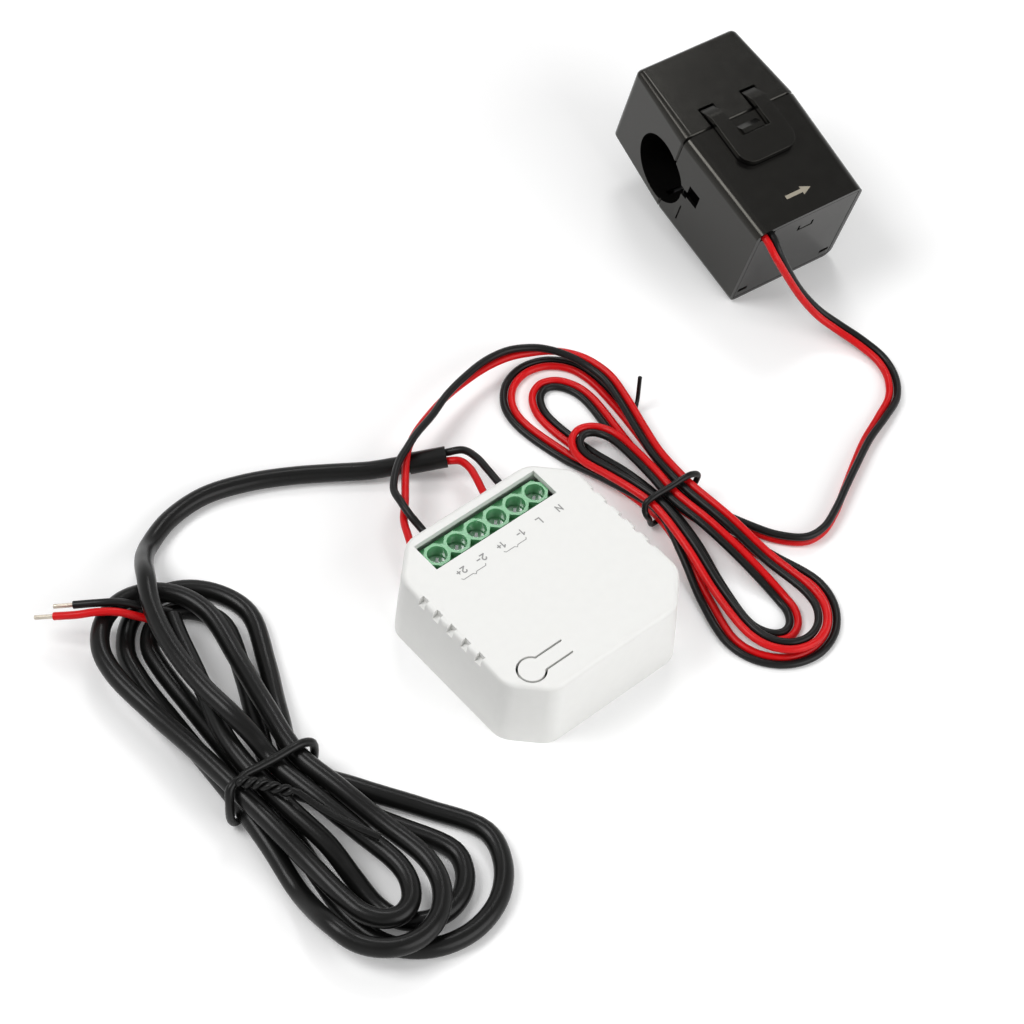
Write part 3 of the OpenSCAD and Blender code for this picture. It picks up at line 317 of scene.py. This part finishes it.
# Its end sleeve, and the cores that come out of it and out of its other end
SLEEVE_WALL = 0.35
sleeve_route = [[11, 40.9, 4.4], [7.7, 42.9, 3.8], [4.4, 44.9, 3.2]]
core_red_route = [[10.5, 40.1, 4.2], [12, 38, 5.2], [11.6, 34.5, 6.8], [10.1, 30.5, 8.2],
                  [8.5, 26.2, 8.7]] + into_terminal(4)
core_black_route = [[11.5, 41.7, 4.6], [14, 39.4, 5.8], [14.2, 35.5, 7.2], [13.3, 31, 8.4],
                    [12.7, 26.6, 8.7]] + into_terminal(5)
tail_red_route = [[-58.6, 41.3, 6.5], [-60.6, 42.6, 7], [-63, 44.6, 8], [-66.2, 47.4, 9.3],
                  [-69.4, 49.8, 9.4], [-72.4, 51.8, 8.9], [-75.6, 55.2, 7.4]]
tail_black_route = [[-57.1, 42.4, 6.9], [-59.4, 44.9, 7.6], [-62, 46.8, 8.6], [-64.8, 49.1, 9.5],
                    [-68, 51.5, 9.3], [-71.4, 54.6, 8.2]]
sleeve = cord_curve("mains_sleeve_skin", smooth(sleeve_route), CABLE_D + 2 * SLEEVE_WALL, "sheath_black")
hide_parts("mains_sleeve")
core_red = cord_curve("mains_core_red_wire", smooth(core_red_route), CORE_D, "core_red")
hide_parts("mains_core_red")
core_black = cord_curve("mains_core_black_wire", smooth(core_black_route), CORE_D, "core_black")
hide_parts("mains_core_black")
tail_red = cord_curve("mains_tail_red_wire", smooth(tail_red_route), CORE_D, "core_red")
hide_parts("mains_tail_red")
tail_black = cord_curve("mains_tail_black_wire", smooth(tail_black_route), CORE_D, "core_black")
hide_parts("mains_tail_black")

# Tie of the hank: one wire round the waist, with its two ends twisted together
KNOT_TURNS, KNOT_STEPS = 2.75, 22
KNOT_R, KNOT_THICK = 0.6, 0.88


def twist(axis, phase):
    line = [Vector(q) for q in axis]
    out = []
    for i in range(KNOT_STEPS + 1):
        k = i / KNOT_STEPS * (len(line) - 1)
        j = min(int(k), len(line) - 2)
        s, up = across((line[j + 1] - line[j]).normalized())
        a = phase + 2 * math.pi * KNOT_TURNS * i / KNOT_STEPS
        q = line[j].lerp(line[j + 1], k - j) + (s * math.cos(a) + up * math.sin(a)) * KNOT_R
        out.append([q.x, q.y, q.z, KNOT_THICK])
    return out


knot = [[-72.0, 1.4, 11.6], [-69.2, -2.2, 12.1], [-65.8, -6.9, 12.0]]
tie_loop = [[-70.4, 2.0, 11.2, 1.2], [-67.4, 1.9, 10.9, 1.25], [-63.2, 1.5, 10.9, 1.25],
            [-57.4, 1.2, 10.6, 1.25], [-55.1, 1.0, 8.7, 1.25], [-55.0, 0.8, 3.3, 1.2],
            [-56.3, 0.6, 0.85, 1.0], [-62.2, 0.4, 0.75, 1.0], [-69.2, 0.2, 0.75, 1.0],
            [-73.8, 0.0, 0.85, 1.0], [-75.1, -0.2, 3.3, 1.2], [-75.05, 0.2, 8.5, 1.25],
            [-74.0, 1.4, 11.0, 1.2]]
tie_tail = [[-63.9, -12.0, 11.4, 1.1], [-61.4, -18.0, 10.7, 1.1], [-58.6, -23.3, 10.0, 1.1]]
cable_tie_line = smooth(twist(knot, 0.0)[::-1] + tie_loop + twist(knot, math.pi) + tie_tail, steps=4)
cable_tie = cord_curve("mains_tie_wire", on_floor(cable_tie_line, CABLE_TIE_D), CABLE_TIE_D, "sheath_black")
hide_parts("mains_tie")


# A point of the clamp's own frame, set down where the clamp lies on its hinge side
def at_clamp(q):
    tilt, yaw = math.radians(CLAMP_TILT), math.radians(CLAMP_YAW)
    clamp_z = CLAMP_H / 2 * math.cos(tilt) + CLAMP_BASE_L * math.sin(tilt)
    y = q[1] * math.cos(tilt) - q[2] * math.sin(tilt)
    z = q[1] * math.sin(tilt) + q[2] * math.cos(tilt)
    return [CLAMP_XY[0] + q[0] * math.cos(yaw) - y * math.sin(yaw),
            CLAMP_XY[1] + q[0] * math.sin(yaw) + y * math.cos(yaw), clamp_z + z]


# Twin lead: a red and a black cord side by side from the terminals, through the hank, to the clamp.
# A fourth value of its points is the roll of the pair, in degrees.
lead_low, lead_high = 0.8, 3.35
lead_waist_low, lead_waist_high = 3.0, 6.2
lead_levels = [[lead_waist_low, lead_low], [lead_waist_high, lead_high]]
lead_spot = [40, 4]
lead_slots = [Slot(4, 1, 0), Slot(-4, 1, 0), Slot(0, 1, 0), Slot(-1.2, 0, 90), Slot(1.2, 0, 90),
              Slot(-3.8, 0, 90)]
lead_turns = [Turn(-1, 7, -9, 42, 9, 1), Turn(1, -6.4, 2.2, 25.4, 6, 1), Turn(-1, 2.8, -7.2, 37, 7, 0),
              Turn(1, -4.2, 6.6, 41.1, 8, 0), Turn(-1, 10.8, -12.4, 43.5, 12, 0, 180),
              Turn(1, -9.2, 11, 47, 10.5, 0, 180)]
lead_exit = [[50.4, 31, 0.85, 180], [48.6, 21, 1.4, 155], [45.8, 11.5, 2.6, 110],
             [43.6, 4, lead_waist_low, 90], [45.6, -2, 2.7, 90], [48.6, -8.6, 2.2, 90],
             [52.2, -14.8, 1.8, 90], [56.6, -18.8, 1.75, 90]]
lead_in_route = [[13.5, 49.4, 7.4, 50], [19.4, 51.6, 7, 70], [26, 53.2, 6.4, 90], [33, 54.1, 5.8, 110],
                 [39, 53.6, 5.2, 110], [44, 51.5, 4.7, 85], [46.5, 49.7, 4.5, 60], [48.6, 47.4, 4.3, 38],
                 [50.3, 44.6, 4.1, 18], [51.3, 41.8, 3.9, 4], [51.9, 37, 3.7, 0], [50.6, 30.5, 3.6, 0],
                 [48.2, 23, 4, 0], [45.6, 15, 5, 0], [44.2, 8.5, lead_waist_high, 0]]
EXIT_X, EXIT_Z = -11.24, 11.4
lead_out_route = [[61, -19.2, 1.75, 90], [66.6, -17.2, 1.75, 90], [72, -14.4, 1.75, 80],
                  [78, -11.3, 1.7, 65], [85, -7.9, 1.6, 50], [92.2, -5.3, 1.4, 30], [98, -2.8, 1.15, 10],
                  [101.9, 1.4, 0.95, 0], [103.5, 6.2, 1.2, 0], [102.9, 11.8, 2, 0], [100.9, 17, 3.6, 0],
                  [98.4, 21, 6.2, 0], [95.6, 24.2, 10.8, 0], [93.2, 26.8, 16.2, 0],
                  at_clamp([EXIT_X, -31.2, 10.2]), at_clamp([EXIT_X, -28.2, EXIT_Z]),
                  at_clamp([EXIT_X, -25.6, EXIT_Z])]
lead_hank = hank_points(lead_levels, lead_slots, lead_turns, lead_spot)
lead_middle = lead_in_route + lead_hank + lead_exit + lead_out_route
red_end = [[8.8, 48.1, 7], [5.1, 45.9, 7.2], [2, 43.1, 7.4], [-1.2, 39.4, 7.7], [-4.6, 35.3, 7.9],
           [-8.2, 31.3, 8.2], [-10.1, 27.7, 8.6]] + into_terminal(0)
black_end = [[7.5, 46.6, 8.8], [3.6, 44.8, 9], [0.4, 43.2, 9.2], [-2.9, 40.7, 9.3], [-5.5, 37.8, 9.4],
             [-6.6, 34.5, 10.1], [-7.2, 30.7, 9.9], [-7.1, 26.9, 8.9]] + into_terminal(1)
red_line = smooth(red_end[::-1] + core_path(lead_middle, -1))
black_line = smooth(black_end[::-1] + core_path(lead_middle, 1))
lead_red = cord_curve("lead_red_cord", red_line, CORE_D, "core_red")
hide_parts("lead_red_module_side", "lead_red_hank", "lead_red_clamp_side")
lead_black = cord_curve("lead_black_cord", black_line, CORE_D, "core_black")
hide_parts("lead_black_module_side", "lead_black_hank", "lead_black_clamp_side")

# Its tie: a closed loop round the waist, and a free end that stands up beside the hank
TIE_END_D = 0.9
lead_tie_route = [[32.9, 4.7, 5.9, 1.2], [33.5, 5.3, 7.1, 1.25], [35.2, 5.2, 7.95, 1.25],
                  [40, 5, 8.0, 1.25], [45.3, 4.8, 7.95, 1.25], [47.4, 4.6, 6.4, 1.2],
                  [46.2, 4.4, 3.5, 1.1], [45.2, 4.2, 1.15, 1.0], [43.6, 4.1, 0.65, 1.0],
                  [36.1, 3.9, 0.65, 1.0], [34.5, 3.8, 1.15, 1.0], [33.6, 3.8, 3.5, 1.1],
                  [32.9, 4.1, 5.1, 1.2], [32.85, 4.7, 6.0, 1.2]]
lead_tie_end_route = [[51.2, 27.4, 2.25], [52.4, 28.3, 2.3], [53.3, 29.0, 3.0], [53.9, 29.6, 5.2],
                      [54.3, 30.1, 8.4]]
lead_tie_line = smooth(lead_tie_route)
lead_tie = cord_curve("lead_tie_wire", on_floor(lead_tie_line, LEAD_TIE_D), LEAD_TIE_D, "sheath_black")
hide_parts("lead_tie")
lead_tie_end = cord_curve("lead_tie_end", smooth(lead_tie_end_route), TIE_END_D, "sheath_black")


# CAD faces joined again: smooth over small bends, with soft edges of these widths where they show
SOFT_EDGE = {"clamp_base": 0.3, "clamp_cap": 0.3, "clamp_end_cover": 0.15, "clamp_latch": 0.3,
             "terminal_housing": 0.15}
WELD_REACH = 1e-5
FLAT_ANGLE, BEVEL_ANGLE = math.radians(0.5), math.radians(32.0)
SHARP_ANGLE, SHARP_ANGLE_SOFT = math.radians(28.0), math.radians(40.0)


def dress(obj, width):
    mesh = obj.data
    mesh.shade_smooth()
    mesh.normals_split_custom_set([(0.0, 0.0, 0.0)] * len(mesh.loops))
    weld = obj.modifiers.new("weld", "WELD")
    weld.merge_threshold = WELD_REACH
    if width > 0.0:
        flat = obj.modifiers.new("flat faces", "DECIMATE")
        flat.decimate_type = "DISSOLVE"
        flat.angle_limit = FLAT_ANGLE
        soft = obj.modifiers.new("soft edge", "BEVEL")
        soft.width = width * MM
        soft.segments = 3
        soft.limit_method = "ANGLE"
        soft.angle_limit = BEVEL_ANGLE
        soft.use_clamp_overlap = True
    split = obj.modifiers.new("sharp edges", "EDGE_SPLIT")
    split.split_angle = SHARP_ANGLE_SOFT if width > 0.0 else SHARP_ANGLE
    split.use_edge_sharp = False
    even = obj.modifiers.new("even normals", "WEIGHTED_NORMAL")
    even.mode = "FACE_AREA"
    even.weight = 50
    even.keep_sharp = True


for name, obj in frame["nodes"].items():
    dress(obj, SOFT_EDGE.get(name, 0.0))


def flat_piece(name, verts, faces, slot_name):
    mesh = bpy.data.meshes.new(name)
    mesh.from_pydata([[c * MM for c in v] for v in verts], [], faces)
    mesh.materials.append(MATERIALS[slot_name])
    obj = add_object(name, mesh)
    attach(obj, ROOT)


# Plain printed marks: flat ribbons just above the case's top, each stroke a hair above the last
MARK_LIFT, STROKE_LIFT = 0.03, 0.0001
GLYPH_ARC = 8


def ribbon(name, strokes, width):
    verts, faces = [], []
    for line in strokes:
        for a, b in zip(line, line[1:]):
            a, b = Vector(a), Vector(b)
            d = (b - a).normalized() * width / 2
            n = Vector((-d.y, d.x))
            a, b = a - d, b + d
            z = CASE_H + MARK_LIFT + STROKE_LIFT * len(faces)
            faces.append([len(verts) + i for i in range(4)])
            verts += [(q.x, q.y, z) for q in (a + n, a - n, b - n, b + n)]
    flat_piece(name, verts, faces, "mark_grey")


def arc_line(cx, cy, r, a0, a1):
    angles = [math.radians(a0 + (a1 - a0) * i / GLYPH_ARC) for i in range(GLYPH_ARC + 1)]
    return [(cx + r * math.cos(a), cy + r * math.sin(a)) for a in angles]


# Strokes of each sign, for a height of 1
GLYPHS = {
    "N": [[(0, 0), (0, 1), (0.7, 0), (0.7, 1)]],
    "L": [[(0, 1), (0, 0), (0.6, 0)]],
    "1": [[(0.05, 0.75), (0.35, 1), (0.35, 0)]],
    "2": [arc_line(0.32, 0.7, 0.3, 170, -35) + [(0.0, 0.0), (0.65, 0.0)]],
    "+": [[(0.05, 0.45), (0.55, 0.45)], [(0.3, 0.2), (0.3, 0.7)]],
    "-": [[(0.05, 0.45), (0.5, 0.45)]],
}
GLYPH_H, GLYPH_GAP, GLYPH_STROKE = 1.35, 0.32, 0.2


# The signs are turned half round, to read from the terminals' side
def write(name, word, x, y):
    strokes, shift = [], 0.0
    for sign in word:
        strokes += [[(p[0] + shift, p[1]) for p in line] for line in GLYPHS[sign]]
        shift += max(p[0] for line in GLYPHS[sign] for p in line) + GLYPH_GAP
    middle = (shift - GLYPH_GAP) / 2
    ribbon(name, [[(x - (p[0] - middle) * GLYPH_H, y - (p[1] - 0.5) * GLYPH_H) for p in line]
                  for line in strokes], GLYPH_STROKE * GLYPH_H)


MARK_ROW_Y = 9.8
MARKS = [("N", 13.15), ("L", 8.0), ("1-", 3.15), ("1+", -1.83), ("2-", -6.86), ("2+", -11.85)]
for k, (word, x) in enumerate(MARKS):
    write("terminal_mark_%d" % (k + 1), word, x, MARK_ROW_Y)

# A bracket under each pair: upturned ends, and a point in the middle
BRACKET_Y, BRACKET_STROKE = 8.0, 0.16
HOOK_W, HOOK_H = 0.25, 0.35
POINT_W, POINT_H = 0.45, 0.4
for k, (x0, x1) in enumerate([(3.3, -2.3), (-7.0, -13.0)]):
    mid = (x0 + x1) / 2
    outline = [(x0, HOOK_H), (x0 - HOOK_W, 0.0), (mid + POINT_W, 0.0), (mid, -POINT_H),
               (mid - POINT_W, 0.0), (x1 + HOOK_W, 0.0), (x1, HOOK_H)]
    ribbon("bracket_mark_%d" % (k + 1), [[(x, BRACKET_Y + y) for x, y in outline]], BRACKET_STROKE)


# Flat patches on the clamp: a plain arrow, and near-black sheets of painted shade on the floors of the
# recess beside its window
def patch(name, corners, slot_name):
    flat_piece(name, [at_clamp(q) for q in corners], [list(range(len(corners)))], slot_name)


ARROW = [(-3.3, -22.35), (0.9, -22.35), (0.9, -23.0), (3.3, -21.9), (0.9, -20.8), (0.9, -21.45),
         (-3.3, -21.45)]
RECESS_X = -14.07
RECESSES = [(-9.55, -6.05, -0.25, 3.65), (-6.15, -4.55, -1.05, 1.05)]
patch("arrow_mark", [[x, y, CLAMP_H / 2 + MARK_LIFT] for x, y in ARROW], "mark_light")
# Painted shade: a near-black sheet laid on each recess floor
for k, (y0, y1, z0, z1) in enumerate(RECESSES):
    corners = [(y0, z0), (y0, z1), (y1, z1), (y1, z0)]
    patch("recess_shade_sheet_%d" % (k + 1), [[RECESS_X, y, z] for y, z in corners], "painted_shade_black")


# 1 for rays that show the surroundings, straight or in a gloss or glass, and 0 for the rest
def seen_rays(tree):
    rays = add_node(tree, "ShaderNodeLightPath")
    seen = rays.outputs["Is Camera Ray"]
    for kind in ("Is Glossy Ray", "Is Transmission Ray"):
        either = add_node(tree, "ShaderNodeMath", operation="MAXIMUM")
        tree.links.new(seen, either.inputs[0])
        tree.links.new(rays.outputs[kind], either.inputs[1])
        seen = either.outputs[0]
    return seen


# Plain pale floor: it shows paler to the camera far from the part, and keeps the shadow
FLOOR_SIZE, FLOOR_X = 6.0, 0.02
FLOOR_TONE = 0.93
LIFT_NEAR, LIFT_FAR = 0.1, 0.9
LIFT_FROM, LIFT_TO = 0.25, 1.6


def floor_material():
    m = bpy.data.materials.new("floor")
    m.use_nodes = True
    tree = m.node_tree
    link = tree.links.new
    shader = tree.nodes["Principled BSDF"]
    set_inputs(shader, {"Base Color": (FLOOR_TONE, FLOOR_TONE, FLOOR_TONE, 1.0), "Roughness": 0.9,
                        "Specular IOR Level": 0.0, "Emission Color": (1.0, 1.0, 1.0, 1.0)})
    place = add_node(tree, "ShaderNodeTexCoord")
    far = add_node(tree, "ShaderNodeVectorMath", operation="LENGTH")
    link(place.outputs["Object"], far.inputs[0])
    rise = add_node(tree, "ShaderNodeMapRange", {"From Min": LIFT_FROM, "From Max": LIFT_TO,
                                                 "To Min": LIFT_NEAR, "To Max": LIFT_FAR})
    link(far.outputs["Value"], rise.inputs["Value"])
    lift = add_node(tree, "ShaderNodeMath", operation="MULTIPLY")
    link(seen_rays(tree), lift.inputs[0])
    link(rise.outputs["Result"], lift.inputs[1])
    link(lift.outputs[0], shader.inputs["Emission Strength"])
    return m


bpy.ops.mesh.primitive_plane_add(size=FLOOR_SIZE, location=(FLOOR_X, 0.0, 0.0))
floor = bpy.context.object
floor.name = "floor"
floor.data.materials.append(floor_material())


# Soft studio light. The glint is small and stands where flat tops mirror it to the camera.
def area_light(name, place, target, size, power):
    light = bpy.data.lights.new(name, "AREA")
    light.shape = "RECTANGLE"
    light.size, light.size_y = size
    light.energy = power
    obj = add_object(name, light)
    obj.location = place
    obj.rotation_euler = (Vector(target) - Vector(place)).to_track_quat("-Z", "Y").to_euler()


area_light("key", (-0.5, 0.35, 0.9), (0.0, 0.0, 0.0), (0.45, 0.45), 5.2)
area_light("fill", (0.25, -0.95, 0.55), (0.03, 0.0, 0.0), (1.0, 0.8), 7.2)
area_light("top", (0.05, 0.1, 1.3), (0.02, 0.0, 0.0), (1.4, 1.4), 2.0)
area_light("glint", (0.43, 0.45, 0.81), (0.0, 0.016, 0.017), (0.24, 0.24), 1.5)

# Seen in a gloss, the room is white round the part and dimmer overhead
ROOM_LIGHT = 0.3
ROOM_ROUND, ROOM_OVERHEAD = 1.0, 0.3
DIM_FROM, DIM_TO = 0.25, 0.9


def add_world():
    world = bpy.data.worlds.new("world")
    world.use_nodes = True
    tree = world.node_tree
    link = tree.links.new
    sky = tree.nodes["Background"]
    set_inputs(sky, {"Color": (1.0, 1.0, 1.0, 1.0)})
    ways = add_node(tree, "ShaderNodeTexCoord")
    parts = add_node(tree, "ShaderNodeSeparateXYZ")
    link(ways.outputs["Generated"], parts.inputs["Vector"])
    height = add_node(tree, "ShaderNodeMapRange", {"From Min": DIM_FROM, "From Max": DIM_TO,
                                                   "To Min": ROOM_ROUND, "To Max": ROOM_OVERHEAD})
    link(parts.outputs["Z"], height.inputs["Value"])
    level = add_node(tree, "ShaderNodeMapRange", {"To Min": ROOM_LIGHT})
    link(height.outputs["Result"], level.inputs["To Max"])
    link(seen_rays(tree), level.inputs["Value"])
    link(level.outputs["Result"], sky.inputs["Strength"])
    bpy.context.scene.world = world


add_world()
bpy.context.scene.view_settings.view_transform = "Standard"
